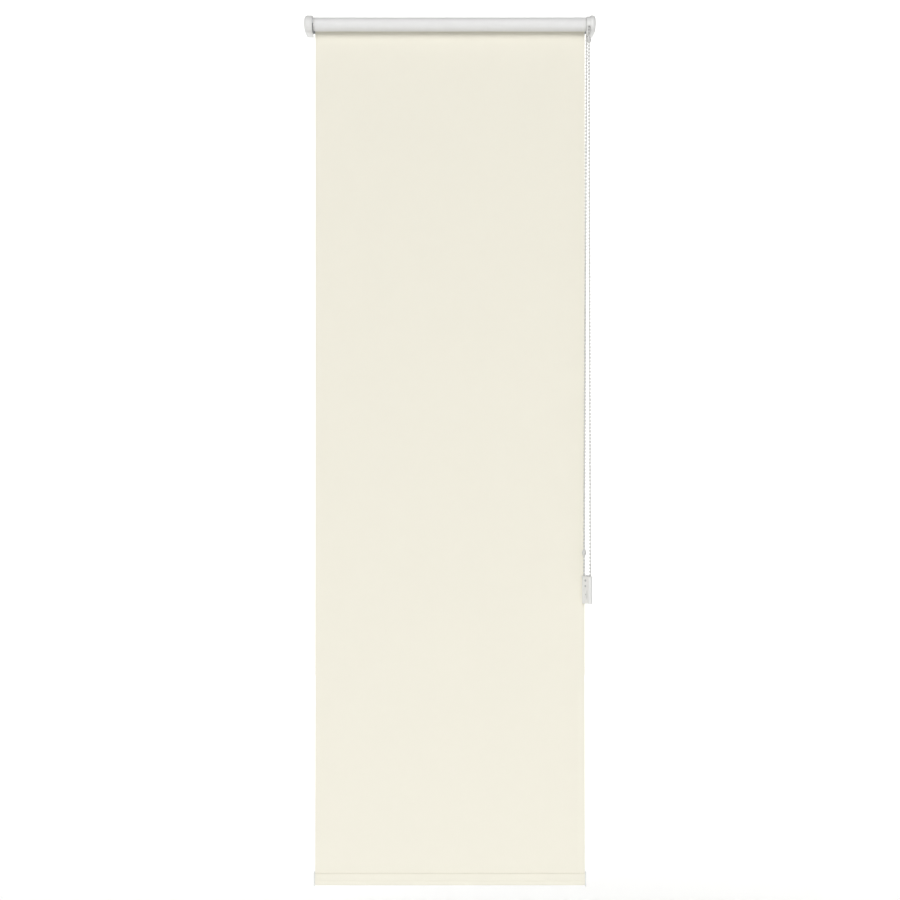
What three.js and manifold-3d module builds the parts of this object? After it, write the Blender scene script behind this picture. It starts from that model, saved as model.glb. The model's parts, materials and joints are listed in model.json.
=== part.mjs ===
// A roller blind with a side chain, at full drop.
// Millimetres. X runs along the roller, -Y points into the room, +Z is up.
// The origin lies on the wall, midway between the brackets, at the height of the roller's axis.

import * as THREE from 'three';
import { mergeVertices } from 'three/addons/utils/BufferGeometryUtils.js';
import Module from 'manifold-3d';

const wasm = await Module();
wasm.setup();

// Driving sizes of the whole blind
const overallWidth = 500;
const fabricDrop = 1482;
const axisToWall = 32;
const chainDrop = 979;
const gap = 0.3;
const overshoot = 1;
const weldDistance = 1e-4;

// Brackets and their covers
const plateThickness = 1.5;
const plateInsetLeft = 11.3;
const plateInsetRight = 5.8;
const flangeReach = 18;
const flangeHalfHeight = 8.5;
const wallHoleRadius = 2.2;
const wallHoleSpacing = 9;
const coverWall = 1.4;
const coverClearance = 0.4;
const coverDepthLeft = 14;
const coverDepthRight = 9.1;
const coverDome = 5;
const coverDomeInset = 3.6;

// Roller
const tubeRadius = 11;
const tubeWall = 1;
const fabricThickness = 0.45;
const turnsLeftOnTube = 2;

// Idle end
const idleGap = 2.8;
const plugFlange = 1.6;
const plugFlangeStep = 0.4;
const plugLength = 26;
const plugChamberRadius = 5.2;
const plugMouth = 4;
const plugCapThickness = 2;
const plugRibs = 6;
const plugRibWidth = 1.6;
const plugRibRoot = 0.3;
const pinRadius = 2.6;
const pinCollarRadius = 4.4;
const pinCollarLength = 1.8;
const pinTailRadius = 1.7;
const pinTailLength = 10;
const pinPastPlate = 2.8;
const pinChamfer = 0.8;
const springWire = 0.45;
const idleSpringTurns = 6;

// Clutch end
const coreDiscThickness = 0.9;
const coreRadius = 3.5;
const corePastHub = 4.2;
const bossHalf = 2.5;
const bossPastPlate = 1.2;
const guardWall = 0.9;
const guardClearance = 0.5;
const guideWall = 1.5;
const guideBottom = 18;
const guideWidth = 6.5;
const guideClearance = 0.45;
const sprocketWidth = 6;
const sprocketFlange = 0.8;
const hubFlange = 0.9;
const hubEndWall = 2;
const hubPastSprings = 7.8;
const hubClearance = 0.4;
const hubKeyWidth = 2.4;
const fingerWall = 1.15;
const fingerHalfAngle = 70;
const wrapSprings = 3;
const wrapSpringPitch = 6.4;
const wrapTurns = 3.5;
const wrapTurnPitch = 1.15;
const wrapSpringSlack = 0.45;
const tangHalfGap = 36;
const tangWidth = 0.63;
const clipThickness = 0.6;
const clipRadius = 5;
const clipFromEnd = 1.2;
const clipGrooveDepth = 0.9;
const clipMouth = 4;

// Ball chain
const beadPitch = 6;
const beadDiameter = 4.5;
const sprocketPockets = 10;
const pitchRadius = sprocketPockets * beadPitch / (2 * Math.PI);
const guideDrop = 24;
const guideStart = 7;
const rearOutletX = -3;
const rearOutletInset = 2.75;
const frontOutletX = -0.2;
const frontOutletInset = 0.35;
const stopRadius = 4;
const stopLength = 9;
const stopShoulder = 1.6;
const stopClearance = 0.35;
const stopBelowGuide = 5;
const stopAboveTensioner = 100;

// Chain tensioner, screwed to the wall
const pulleyRadius = 9;
const tensionerTurn = THREE.MathUtils.degToRad(31.5);
const tensionerX = 3;
const tensionerForward = 2.6;
const caseWall = 0.9;
const caseClearance = 0.35;
const caseAbove = 31;
const caseBelow = 16;
const caseLip = 0.8;
const caseLipHeight = 2;
const caseFloorClearance = 0.8;
const windowOffset = -3.8;
const windowWidth = 2;
const windowHeight = 14;
const pulleyRimDepth = 1.4;
const axleRadius = 1.2;
const screwRadius = 0.8;
const screwHeadRadius = 2;
const screwHeadHeight = 0.9;
const bossRadius = 2.4;
const screwHeights = [14.5, 24];
const armThickness = 3.5;
const armBelow = 12;
const armAbove = 27;
const footWidth = 7.6;
const footThickness = 2.5;
const footHoleRadius = 1.7;
const footHoleInset = 5;

// Bottom hem
const hemHeight = 22;
const hemBarHeight = 18;
const hemBarThickness = 2;
const hemBarEnd = 4.5;
const hemCapThickness = 2;
const hemCapDepth = 4.2;
const hemCapOverlap = 2;
const hemTongueInset = 2;

// Sizes and positions that follow from the ones above
const beadRadius = beadDiameter / 2;
const tubeInner = tubeRadius - tubeWall;
const rollRadius = tubeRadius + turnsLeftOnTube * fabricThickness;
const plugFlangeRadius = tubeRadius + plugFlangeStep;
const guardRadius = pitchRadius + beadRadius + guardClearance + guardWall;
const guardInner = guardRadius - guardWall;
const coverRadius = guardRadius + coverClearance + coverWall;
const frontOutletY = frontOutletInset - pitchRadius;
const rearOutletY = pitchRadius - rearOutletInset;
const guideHalfDepth = guideWall - frontOutletY;
const wrapCoilRadius = coreRadius + springWire + wrapSpringSlack;
const fingerInner = wrapCoilRadius + springWire + gap;
const fingerOuter = fingerInner + fingerWall;
const hubInnerRadius = fingerOuter + hubClearance;
const hubLength = wrapSprings * wrapSpringPitch + hubPastSprings;
const caseRadius = beadRadius + caseWall + caseClearance;
const chainTravel = chainDrop - stopAboveTensioner;
const halfWidth = overallWidth / 2;
const plateRight = halfWidth - plateInsetRight - plateThickness;
const discRight = plateRight - gap;
const sprocketRight = discRight - coreDiscThickness - gap;
const sprocketLeft = sprocketRight - sprocketWidth;
const guardLeft = sprocketLeft - gap - guardWall;
const hubFlangeLeft = guardLeft - gap - hubFlange;
const tubeRight = hubFlangeLeft - gap;
const chainX = (sprocketLeft + sprocketRight) / 2;
const plateLeft = -halfWidth + plateInsetLeft;
const plugFaceX = plateLeft + plateThickness + idleGap;
const tubeLeft = plugFaceX + plugFlange + gap;
const panelY = -axisToWall + rollRadius - fabricThickness / 2;
const panelTop = -Math.sqrt(rollRadius ** 2 - (rollRadius - fabricThickness - gap) ** 2);
const hemTop = -fabricDrop + hemHeight;
const hemMiddle = hemTop - hemHeight / 2;
const pocketRoom = hemBarThickness + 2 * gap;
const springsLeft = tubeRight - wrapSprings * wrapSpringPitch;
const coreEnd = tubeRight - hubLength - corePastHub;
const clipX = coreEnd + clipFromEnd;
const pulleyY = -axisToWall - tensionerForward;

// Materials
function finish(color, roughness, metalness) {
  return new THREE.MeshStandardMaterial({ color, roughness, metalness });
}
const steel = finish(0xb8babc, 0.4, 1);
const springSteel = finish(0x8f9194, 0.35, 1);
const aluminium = finish(0xc9cbcd, 0.4, 1);
const whitePlastic = finish(0xececea, 0.45, 0);
const greyPlastic = finish(0xd3d4d3, 0.5, 0);
const fabric = finish(0xf1eee1, 0.9, 0);
const coating = finish(0xe6e6e2, 0.7, 0);
const chainPlastic = finish(0xf2f2f0, 0.35, 0);

// Solids and booleans
function stripped(geometry) {
  const bare = geometry.clone();
  bare.deleteAttribute('normal');
  bare.deleteAttribute('uv');
  return mergeVertices(bare, weldDistance);
}

function solidOf(geometry) {
  const merged = stripped(geometry);
  const vertProperties = new Float32Array(merged.attributes.position.array);
  const triVerts = new Uint32Array(merged.index.array);
  return new wasm.Manifold(new wasm.Mesh({ numProp: 3, vertProperties, triVerts }));
}

function geometryOf(solid) {
  const mesh = solid.getMesh();
  const geometry = new THREE.BufferGeometry();
  geometry.setAttribute('position', new THREE.BufferAttribute(mesh.vertProperties, 3));
  geometry.setIndex(new THREE.BufferAttribute(mesh.triVerts, 1));
  return geometry;
}

function cut(base, ...tools) {
  return tools.reduce((left, tool) => left.subtract(tool), base);
}

function join(...pieces) {
  return pieces.reduce((sum, piece) => sum.add(piece));
}

// Turns a profile drawn as (x, radius) about the X axis.
function turned(profile, segments = 32) {
  const points = profile.map(([x, radius]) => new THREE.Vector2(radius, x));
  const geometry = new THREE.LatheGeometry(points, segments);
  const alongX = new THREE.Matrix4().makeBasis(
    new THREE.Vector3(0, 1, 0),
    new THREE.Vector3(1, 0, 0),
    new THREE.Vector3(0, 0, -1),
  );
  geometry.applyMatrix4(alongX);
  return solidOf(faceOut(geometry));
}

// Flips the triangles of a closed geometry whose enclosed volume comes out negative.
function faceOut(geometry) {
  const plain = stripped(geometry);
  const index = plain.index.array;
  const corner = [new THREE.Vector3(), new THREE.Vector3(), new THREE.Vector3()];
  let volume = 0;
  for (let i = 0; i < index.length; i += 3) {
    corner.forEach((point, k) => point.fromBufferAttribute(plain.attributes.position, index[i + k]));
    volume += corner[0].dot(corner[1].clone().cross(corner[2]));
  }
  if (volume < 0) {
    for (let i = 0; i < index.length; i += 3) {
      [index[i], index[i + 1]] = [index[i + 1], index[i]];
    }
  }
  return plain;
}

function ring(x0, x1, inner, outer, segments = 32) {
  return turned([[x0, inner], [x1, inner], [x1, outer], [x0, outer], [x0, inner]], segments);
}

function rod(x0, x1, radius, segments = 24) {
  return turned([[x0, 0], [x0, radius], [x1, radius], [x1, 0]], segments);
}

function block(x0, x1, y0, y1, z0, z1) {
  const geometry = new THREE.BoxGeometry(x1 - x0, y1 - y0, z1 - z0);
  geometry.translate((x0 + x1) / 2, (y0 + y1) / 2, (z0 + z1) / 2);
  return solidOf(geometry);
}

// Extrudes an outline drawn in Y and Z along X.
function alongX(shape, x0, x1, options = {}) {
  const geometry = new THREE.ExtrudeGeometry(shape, {
    depth: x1 - x0,
    bevelEnabled: false,
    curveSegments: 20,
    ...options,
  });
  const basis = new THREE.Matrix4().makeBasis(
    new THREE.Vector3(0, 1, 0),
    new THREE.Vector3(0, 0, 1),
    new THREE.Vector3(1, 0, 0),
  );
  geometry.applyMatrix4(basis);
  geometry.translate(x0, 0, 0);
  return solidOf(geometry);
}

// A round hole through the wall side, along Y.
function holeAlongY(x, z, radius, y0, y1) {
  const geometry = new THREE.CylinderGeometry(radius, radius, y1 - y0, 20);
  geometry.translate(x, (y0 + y1) / 2, z);
  return solidOf(geometry);
}

// Outline of a plate or cover: round about the roller's axis, straight back to the wall.
function bracketOutline(radius, wallY) {
  const shape = new THREE.Shape();
  shape.moveTo(wallY, -radius);
  shape.lineTo(-axisToWall, -radius);
  shape.absarc(-axisToWall, 0, radius, -Math.PI / 2, -3 * Math.PI / 2, true);
  shape.lineTo(wallY, radius);
  shape.closePath();
  return shape;
}

// Stamped steel angle: a side plate with an eye for the axle, and a flange on the wall.
function bracketPlate(x0, inward, eye) {
  const outline = bracketOutline(coverRadius - coverWall - gap, 0);
  const side = alongX(outline, x0, x0 + plateThickness);
  const bend = inward > 0 ? x0 : x0 + plateThickness;
  const reach = bend + inward * flangeReach;
  const flange = block(
    Math.min(bend, reach), Math.max(bend, reach),
    -plateThickness, 0, -flangeHalfHeight, flangeHalfHeight,
  );
  const holeX = reach - inward * flangeReach / 3;
  const holes = [-wallHoleSpacing / 2, wallHoleSpacing / 2].map((z) => holeAlongY(
    holeX, z, wallHoleRadius, -plateThickness - overshoot, overshoot,
  ));
  return cut(join(side, flange), eye, ...holes);
}

function roundEye() {
  const eye = rod(plateLeft - overshoot, plateLeft + plateThickness + overshoot, pinRadius + gap);
  return eye.translate(0, -axisToWall, 0);
}

function squareEye() {
  const half = bossHalf + gap;
  return block(
    plateRight - overshoot, plateRight + plateThickness + overshoot,
    -axisToWall - half, -axisToWall + half, -half, half,
  );
}

// Moulded cover with a domed outer face, open towards the roller and the wall.
function bracketCover(outerX, depth) {
  const outward = Math.sign(outerX);
  const beyondWall = 2 * coverDome;
  const dome = (radius, length) => alongX(
    bracketOutline(radius - coverDomeInset, beyondWall), 0, length - coverDome,
    {
      bevelEnabled: true,
      bevelThickness: coverDome,
      bevelSize: coverDomeInset,
      bevelSegments: 3,
      curveSegments: 12,
    },
  );
  const room = block(0, depth + overshoot, -2 * axisToWall, 0, -2 * coverRadius, 2 * coverRadius);
  const shell = dome(coverRadius, depth).intersect(room);
  const cavity = dome(coverRadius - coverWall, depth - coverWall);
  const cover = cut(shell, cavity).translate(outward * outerX - depth, 0, 0);
  return outward > 0 ? cover : cover.mirror([1, 0, 0]);
}

// Path of a helix about the X axis.
class Helix extends THREE.Curve {
  constructor(x0, radius, pitch, turns, startAngle) {
    super();
    Object.assign(this, { x0, radius, pitch, turns, startAngle });
  }

  getPoint(t, target = new THREE.Vector3()) {
    const angle = this.startAngle + t * this.turns * 2 * Math.PI;
    const x = this.x0 + t * this.turns * this.pitch;
    return target.set(x, this.radius * Math.cos(angle), this.radius * Math.sin(angle));
  }
}

function wire(path, radius, steps, sides = 8) {
  const section = new THREE.Shape();
  for (let i = 0; i < sides; i += 1) {
    const angle = i * 2 * Math.PI / sides;
    const move = i ? 'lineTo' : 'moveTo';
    section[move](radius * Math.cos(angle), radius * Math.sin(angle));
  }
  section.closePath();
  const geometry = new THREE.ExtrudeGeometry(section, { steps, extrudePath: path });
  return solidOf(faceOut(geometry));
}

// Parts on the roller's axis, drawn about X through their own origin.

function rollerTube() {
  return ring(tubeLeft, tubeRight, tubeInner, tubeRadius, 48);
}

function fabricRoll() {
  return ring(tubeLeft, tubeRight, tubeRadius + gap, rollRadius, 48);
}

function idlePlug() {
  const bodyRadius = tubeInner - 2 * gap;
  const inner = plugFaceX + plugLength;
  const mouthRadius = pinRadius + gap;
  const profile = [
    [plugFaceX, mouthRadius],
    [plugFaceX, plugFlangeRadius],
    [plugFaceX + plugFlange, plugFlangeRadius],
    [plugFaceX + plugFlange, bodyRadius],
    [inner, bodyRadius],
    [inner, plugChamberRadius],
    [plugFaceX + plugMouth, plugChamberRadius],
    [plugFaceX + plugMouth, mouthRadius],
    [plugFaceX, mouthRadius],
  ];
  const ribs = gripRibs(plugFaceX + plugFlange + gap + overshoot, inner, bodyRadius);
  return join(turned(profile), ...ribs);
}

// Ribs that grip the inside of the tube.
function gripRibs(x0, x1, bodyRadius) {
  const half = plugRibWidth / 2;
  return Array.from({ length: plugRibs }, (unused, i) => {
    const rib = block(x0, x1, -half, half, bodyRadius - plugRibRoot, tubeInner - gap);
    return rib.rotate([i * 360 / plugRibs, 0, 0]);
  });
}

function idlePlugCap() {
  const inner = plugFaceX + plugLength;
  return rod(inner - plugCapThickness, inner, plugChamberRadius - gap);
}

function idlePin() {
  const collarX = plugFaceX + plugMouth + gap;
  const tip = plateLeft - pinPastPlate;
  return turned([
    [tip, 0],
    [tip, pinRadius - pinChamfer],
    [tip + pinChamfer, pinRadius],
    [collarX, pinRadius],
    [collarX, pinCollarRadius],
    [collarX + pinCollarLength, pinCollarRadius],
    [collarX + pinCollarLength, pinTailRadius],
    [collarX + pinCollarLength + pinTailLength, pinTailRadius],
    [collarX + pinCollarLength + pinTailLength, 0],
  ]);
}

function idleSpring() {
  const start = plugFaceX + plugMouth + pinCollarLength + 2 * gap + springWire;
  const end = plugFaceX + plugLength - plugCapThickness - gap - springWire;
  const pitch = (end - start) / idleSpringTurns;
  const radius = (pinTailRadius + plugChamberRadius) / 2 - gap / 2;
  return wire(new Helix(start, radius, pitch, idleSpringTurns, 0), springWire, idleSpringTurns * 10, 5);
}

function clutchCore() {
  const grooveRadius = coreRadius - clipGrooveDepth;
  const profile = [
    [coreEnd, 0],
    [coreEnd, coreRadius],
    [clipX, coreRadius],
    [clipX, grooveRadius],
    [clipX + clipThickness + 2 * gap, grooveRadius],
    [clipX + clipThickness + 2 * gap, coreRadius],
    [discRight - coreDiscThickness, coreRadius],
    [discRight - coreDiscThickness, guardInner - gap],
    [discRight, guardInner - gap],
    [discRight, 0],
  ];
  const boss = block(
    discRight - overshoot / 2, plateRight + plateThickness + bossPastPlate,
    -bossHalf, bossHalf, -bossHalf, bossHalf,
  );
  return join(turned(profile), boss);
}

function coreClip() {
  const x0 = clipX + gap;
  const x1 = x0 + clipThickness;
  const half = clipMouth / 2;
  const clip = ring(x0, x1, coreRadius - clipGrooveDepth + gap, clipRadius);
  const mouth = block(x0 - overshoot, x1 + overshoot, -half, half, -2 * clipRadius, 0);
  return cut(clip, mouth);
}

// Cup around the sprocket, with a block below it that guides the two runs of chain.
function chainGuard() {
  const segments = 40;
  const cup = turned([
    [guardLeft, hubInnerRadius],
    [guardLeft, guardRadius],
    [discRight, guardRadius],
    [discRight, guardInner],
    [guardLeft + guardWall, guardInner],
    [guardLeft + guardWall, hubInnerRadius],
    [guardLeft, hubInnerRadius],
  ], segments);
  const guide = block(
    guardLeft, guardLeft + guideWidth, -guideHalfDepth, guideHalfDepth, -guideBottom, -guardInner / 2,
  );
  const room = rod(guardLeft + guardWall, discRight + overshoot, guardInner, segments);
  const hubRoom = rod(guardLeft - overshoot, discRight, hubInnerRadius);
  const channel = wire(new ChainTop(), beadRadius + guideClearance, 30).translate(0, axisToWall, 0);
  return cut(join(cup, guide), room, hubRoom, channel);
}

function sprocket() {
  const flangeRadius = pitchRadius + sprocketFlange;
  const pocketRadius = beadRadius + 2 * gap;
  const wheel = ring(sprocketLeft, sprocketRight, coreRadius + gap, flangeRadius, 30);
  const groove = new THREE.TorusGeometry(pitchRadius, beadRadius + gap, 10, 30);
  groove.rotateY(Math.PI / 2);
  groove.translate(chainX, 0, 0);
  const pockets = Array.from({ length: sprocketPockets }, (unused, i) => {
    const angle = i * 2 * Math.PI / sprocketPockets;
    const ball = new THREE.SphereGeometry(pocketRadius, 8, 6);
    ball.translate(chainX, pitchRadius * Math.cos(angle), pitchRadius * Math.sin(angle));
    return solidOf(ball);
  });
  return join(cut(wheel, solidOf(groove), ...pockets), sprocketFinger());
}

// Half sleeve on the sprocket that pushes the ends of the wrap springs.
function sprocketFinger() {
  const half = THREE.MathUtils.degToRad(fingerHalfAngle);
  const up = Math.PI / 2;
  const shape = new THREE.Shape();
  shape.absarc(0, 0, fingerOuter, up - half, up + half, false);
  shape.absarc(0, 0, fingerInner, up + half, up - half, true);
  shape.closePath();
  return alongX(shape, springsLeft - overshoot, sprocketLeft + overshoot / 2);
}

function wrapSpring(index) {
  const x0 = springsLeft + index * wrapSpringPitch;
  const start = tangHalfGap - 90;
  const turns = wrapTurns + (180 - 2 * tangHalfGap) / 360;
  const path = new Helix(x0, wrapCoilRadius, wrapTurnPitch, turns, THREE.MathUtils.degToRad(start));
  const half = tangWidth / 2;
  const root = wrapCoilRadius - half;
  const tang = (x, angle) => {
    return block(x - half, x + half, root, fingerOuter - half, -half, half).rotate([angle, 0, 0]);
  };
  const far = tang(x0 + turns * wrapTurnPitch, start + turns * 360);
  return join(wire(path, springWire, 40, 5), tang(x0, start), far);
}

function driveHub() {
  const bodyRadius = tubeInner - 3 * gap;
  const inner = tubeRight - hubLength;
  const keyHalf = hubKeyWidth / 2;
  const sleeve = turned([
    [inner, coreRadius + gap],
    [inner, bodyRadius],
    [hubFlangeLeft, bodyRadius],
    [hubFlangeLeft, plugFlangeRadius],
    [hubFlangeLeft + hubFlange, plugFlangeRadius],
    [hubFlangeLeft + hubFlange, hubInnerRadius],
    [inner + hubEndWall, hubInnerRadius],
    [inner + hubEndWall, coreRadius + gap],
    [inner, coreRadius + gap],
  ]);
  const key = block(
    inner + hubEndWall / 2, tubeRight, -keyHalf, keyHalf, -hubInnerRadius - overshoot / 2, -fingerInner,
  );
  const ribs = gripRibs(inner + hubEndWall, tubeRight - overshoot, bodyRadius);
  return join(sleeve, key, ...ribs);
}

// Chain: pitch line of the run over the sprocket and through the guide, in world coordinates.
class ChainTop extends THREE.Curve {
  getPoint(t, target = new THREE.Vector3()) {
    const arc = Math.PI * pitchRadius;
    const total = arc + 2 * guideDrop;
    const along = t * total;
    if (along < guideDrop) {
      return guided(1 - along / guideDrop, 1, target);
    }
    if (along > guideDrop + arc) {
      return guided((along - guideDrop - arc) / guideDrop, -1, target);
    }
    const angle = (along - guideDrop) / pitchRadius;
    const y = -axisToWall + pitchRadius * Math.cos(angle);
    return target.set(chainX, y, pitchRadius * Math.sin(angle));
  }
}

// Eases a run from the sprocket's tangent, t = 0, to its outlet under the guide, t = 1.
function guided(t, side, target) {
  const eased = Math.max(0, (guideDrop * t - guideStart) / (guideDrop - guideStart));
  const ease = eased * eased * (3 - 2 * eased);
  const outlet = chainOutlet(side);
  const x = THREE.MathUtils.lerp(chainX, outlet.x, ease);
  const y = THREE.MathUtils.lerp(-axisToWall + side * pitchRadius, outlet.y, ease);
  return target.set(x, y, -guideDrop * t);
}

// side is 1 for the rear run and -1 for the front run.
function chainOutlet(side) {
  const x = chainX + (side > 0 ? rearOutletX : frontOutletX);
  const y = -axisToWall + (side > 0 ? rearOutletY : frontOutletY);
  return new THREE.Vector3(x, y, -guideDrop);
}

function pulleyCentre() {
  return new THREE.Vector3(tubeRight + tensionerX, pulleyY, -chainDrop);
}

function pulleyTangent(side) {
  const reach = new THREE.Vector3(0, side * pulleyRadius, 0);
  reach.applyAxisAngle(new THREE.Vector3(0, 0, 1), tensionerTurn);
  return pulleyCentre().add(reach);
}

function chainRun(side) {
  const top = chainOutlet(side);
  const bottom = pulleyTangent(side);
  const down = bottom.clone().sub(top).normalize();
  top.addScaledVector(down, gap);
  bottom.addScaledVector(down, -gap);
  return wire(new THREE.LineCurve3(top, bottom), beadRadius, 16);
}

// Half turn under the pulley, in the tensioner's own frame.
class ChainBottom extends THREE.Curve {
  getPoint(t, target = new THREE.Vector3()) {
    const angle = Math.PI + t * Math.PI;
    return target.set(0, pulleyRadius * Math.cos(angle), pulleyRadius * Math.sin(angle));
  }
}

// Ball stop clipped round the chain, drawn along Z through its own origin.
function chainStop() {
  const bore = beadRadius + stopClearance;
  const half = stopLength / 2;
  const profile = [
    [-half, bore],
    [-half, stopRadius - stopShoulder / 2],
    [-half + stopShoulder, stopRadius],
    [half - stopShoulder, stopRadius],
    [half, stopRadius - stopShoulder / 2],
    [half, bore],
    [-half, bore],
  ];
  return turned(profile, 24).rotate([0, 90, 0]);
}

// Tensioner, in its own frame: the pulley turns about X through the origin.

function caseOutline(radius) {
  const shape = new THREE.Shape();
  shape.absarc(0, -pulleyRadius, radius, Math.PI, 2 * Math.PI, false);
  shape.absarc(0, pulleyRadius, radius, 0, Math.PI, false);
  shape.closePath();
  return shape;
}

function upright(shape, z0, z1) {
  const geometry = new THREE.ExtrudeGeometry(shape, {
    depth: z1 - z0,
    bevelEnabled: false,
    curveSegments: 8,
  });
  geometry.translate(0, 0, z0);
  return solidOf(geometry);
}

// The tensioner's case before it is split: a flat shell with a lip round its open top.
function caseShell() {
  const outer = upright(caseOutline(caseRadius), -caseBelow, caseAbove);
  const lip = upright(caseOutline(caseRadius + caseLip), caseAbove - caseLipHeight, caseAbove);
  return join(outer, lip);
}

function caseRoom() {
  const floor = pulleyRadius + beadRadius + caseFloorClearance;
  return upright(caseOutline(caseRadius - caseWall), -floor, caseAbove + overshoot);
}

function screwBosses() {
  return screwHeights.map((z) => rod(-caseRadius, caseRadius, bossRadius, 20).translate(0, 0, z));
}

function caseHalf(side) {
  const far = 3 * caseRadius * side;
  const near = side * gap / 2;
  const wide = pulleyRadius * 4;
  const half = block(Math.min(near, far), Math.max(near, far), -wide, wide, -wide, 2 * wide);
  return join(cut(caseShell(), caseRoom()), ...screwBosses()).intersect(half);
}

function screwHoles(radius) {
  return screwHeights.map((z) => {
    return rod(-caseRadius - overshoot, caseRadius - caseWall, radius, 16).translate(0, 0, z);
  });
}

function axleHole() {
  return rod(-2 * caseRadius, 2 * caseRadius, axleRadius + gap, 20);
}

function tensionerBody() {
  const toWall = -pulleyY;
  const inTensioner = (piece) => piece.rotate([0, 0, -THREE.MathUtils.radToDeg(tensionerTurn)]);
  const side = hemCapThickness + gap - tensionerX + overshoot;
  const arm = block(side, side + armThickness, caseRadius - caseWall / 2, toWall, -armBelow, armAbove);
  const foot = block(side, side + footWidth, toWall - footThickness, toWall, -caseBelow, caseAbove);
  const holeX = side + armThickness + (footWidth - armThickness) / 2;
  const holes = [footHoleInset - caseBelow, caseAbove - footHoleInset].map((z) => holeAlongY(
    holeX, z, footHoleRadius, toWall - footThickness - overshoot, toWall + overshoot,
  ));
  const mount = inTensioner(cut(join(arm, foot), ...holes));
  const pilot = screwHoles(screwRadius + gap);
  const room = cut(caseRoom(), ...screwBosses());
  return cut(join(caseHalf(1), mount), room, axleHole(), ...pilot);
}

function tensionerCover() {
  const window = block(
    -2 * caseRadius, 0, windowOffset - windowWidth / 2, windowOffset + windowWidth / 2,
    -windowHeight / 2, windowHeight / 2,
  );
  return cut(caseHalf(-1), axleHole(), window, ...screwHoles(screwRadius + gap));
}

function tensionerPulley() {
  const half = caseRadius - caseWall - gap;
  const rim = pulleyRadius - pulleyRimDepth;
  const wheel = ring(-half, half, axleRadius + gap, rim, 24);
  const groove = new THREE.TorusGeometry(pulleyRadius, beadRadius + gap, 10, 24);
  groove.rotateY(Math.PI / 2);
  return cut(wheel, solidOf(groove));
}

function tensionerAxle() {
  return rod(-caseRadius, caseRadius, axleRadius, 20);
}

function tensionerScrew() {
  const head = -caseRadius - gap;
  return turned([
    [head - screwHeadHeight, 0],
    [head - screwHeadHeight, screwHeadRadius * 0.7],
    [head, screwHeadRadius],
    [head, screwRadius],
    [caseRadius - caseWall - gap, screwRadius],
    [caseRadius - caseWall - gap, 0],
  ], 16);
}

// Hanging cloth and bottom hem

function fabricPanel() {
  const half = fabricThickness / 2;
  return block(tubeLeft, tubeRight, panelY - half, panelY + half, hemTop + gap, panelTop);
}

// Upright slot outline in Y and Z with round ends.
function slotOutline(thickness, height, centreZ) {
  const radius = thickness / 2;
  const shape = new THREE.Shape();
  shape.absarc(panelY, centreZ + height / 2 - radius, radius, 0, Math.PI, false);
  shape.absarc(panelY, centreZ - height / 2 + radius, radius, Math.PI, 2 * Math.PI, false);
  shape.closePath();
  return shape;
}

function hemPocket() {
  const outline = slotOutline(pocketRoom + 2 * fabricThickness, hemHeight, hemMiddle);
  const inside = slotOutline(pocketRoom, hemBarHeight + 2 * gap, hemMiddle);
  const options = { curveSegments: 6 };
  const outer = alongX(outline, tubeLeft, tubeRight, options);
  return cut(outer, alongX(inside, tubeLeft - overshoot, tubeRight + overshoot, options));
}

function hemBar() {
  const outline = slotOutline(hemBarThickness, hemBarHeight, hemMiddle);
  return alongX(outline, tubeLeft + hemBarEnd, tubeRight - hemBarEnd, { curveSegments: 6 });
}

function hemCap(side) {
  const edge = side > 0 ? tubeRight + gap : tubeLeft - gap;
  const outside = edge + side * hemCapThickness;
  const tongueEnd = side > 0 ? tubeRight - hemBarEnd + gap : tubeLeft + hemBarEnd - gap;
  const face = alongX(
    slotOutline(hemCapDepth, hemHeight + 2 * hemCapOverlap, hemMiddle),
    Math.min(edge, outside), Math.max(edge, outside), { curveSegments: 8 },
  );
  const tongue = alongX(
    slotOutline(hemBarThickness - gap, hemBarHeight - 2 * hemTongueInset, hemMiddle),
    Math.min(tongueEnd, outside), Math.max(tongueEnd, outside), { curveSegments: 6 },
  );
  return join(face, tongue);
}

// Assembly

function node(name, solid, material) {
  const mesh = new THREE.Mesh(geometryOf(solid), material);
  mesh.name = name;
  return mesh;
}

function groupAt(position, children) {
  const group = new THREE.Group();
  group.position.copy(position);
  group.add(...children);
  return group;
}

function brackets() {
  return [
    node('bracket_plate_left', bracketPlate(plateLeft, 1, roundEye()), steel),
    node('bracket_plate_right', bracketPlate(plateRight, -1, squareEye()), steel),
    node('bracket_cover_left', bracketCover(-halfWidth, coverDepthLeft), whitePlastic),
    node('bracket_cover_right', bracketCover(halfWidth, coverDepthRight), whitePlastic),
  ];
}

function rollerParts() {
  const springs = Array.from({ length: wrapSprings }, (unused, i) => {
    return node(`wrap_spring_${i + 1}`, wrapSpring(i), springSteel);
  });
  const parts = [
    node('roller_tube', rollerTube(), aluminium),
    node('fabric_roll', fabricRoll(), coating),
    node('idle_plug', idlePlug(), greyPlastic),
    node('idle_plug_cap', idlePlugCap(), greyPlastic),
    node('idle_pin', idlePin(), steel),
    node('idle_spring', idleSpring(), springSteel),
    node('drive_hub', driveHub(), greyPlastic),
    node('clutch_core', clutchCore(), whitePlastic),
    node('core_clip', coreClip(), springSteel),
    node('chain_guard', chainGuard(), whitePlastic),
    node('sprocket', sprocket(), greyPlastic),
    ...springs,
  ];
  return groupAt(new THREE.Vector3(0, -axisToWall, 0), parts);
}

function chainStopNode(name, side) {
  const top = chainOutlet(side);
  const down = pulleyTangent(side).sub(top).normalize();
  const fall = side > 0 ? stopBelowGuide + chainTravel : stopBelowGuide;
  const stop = node(name, chainStop(), chainPlastic);
  stop.position.copy(top.addScaledVector(down, fall / -down.z));
  stop.quaternion.setFromUnitVectors(new THREE.Vector3(0, 0, -1), down);
  return stop;
}

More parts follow.
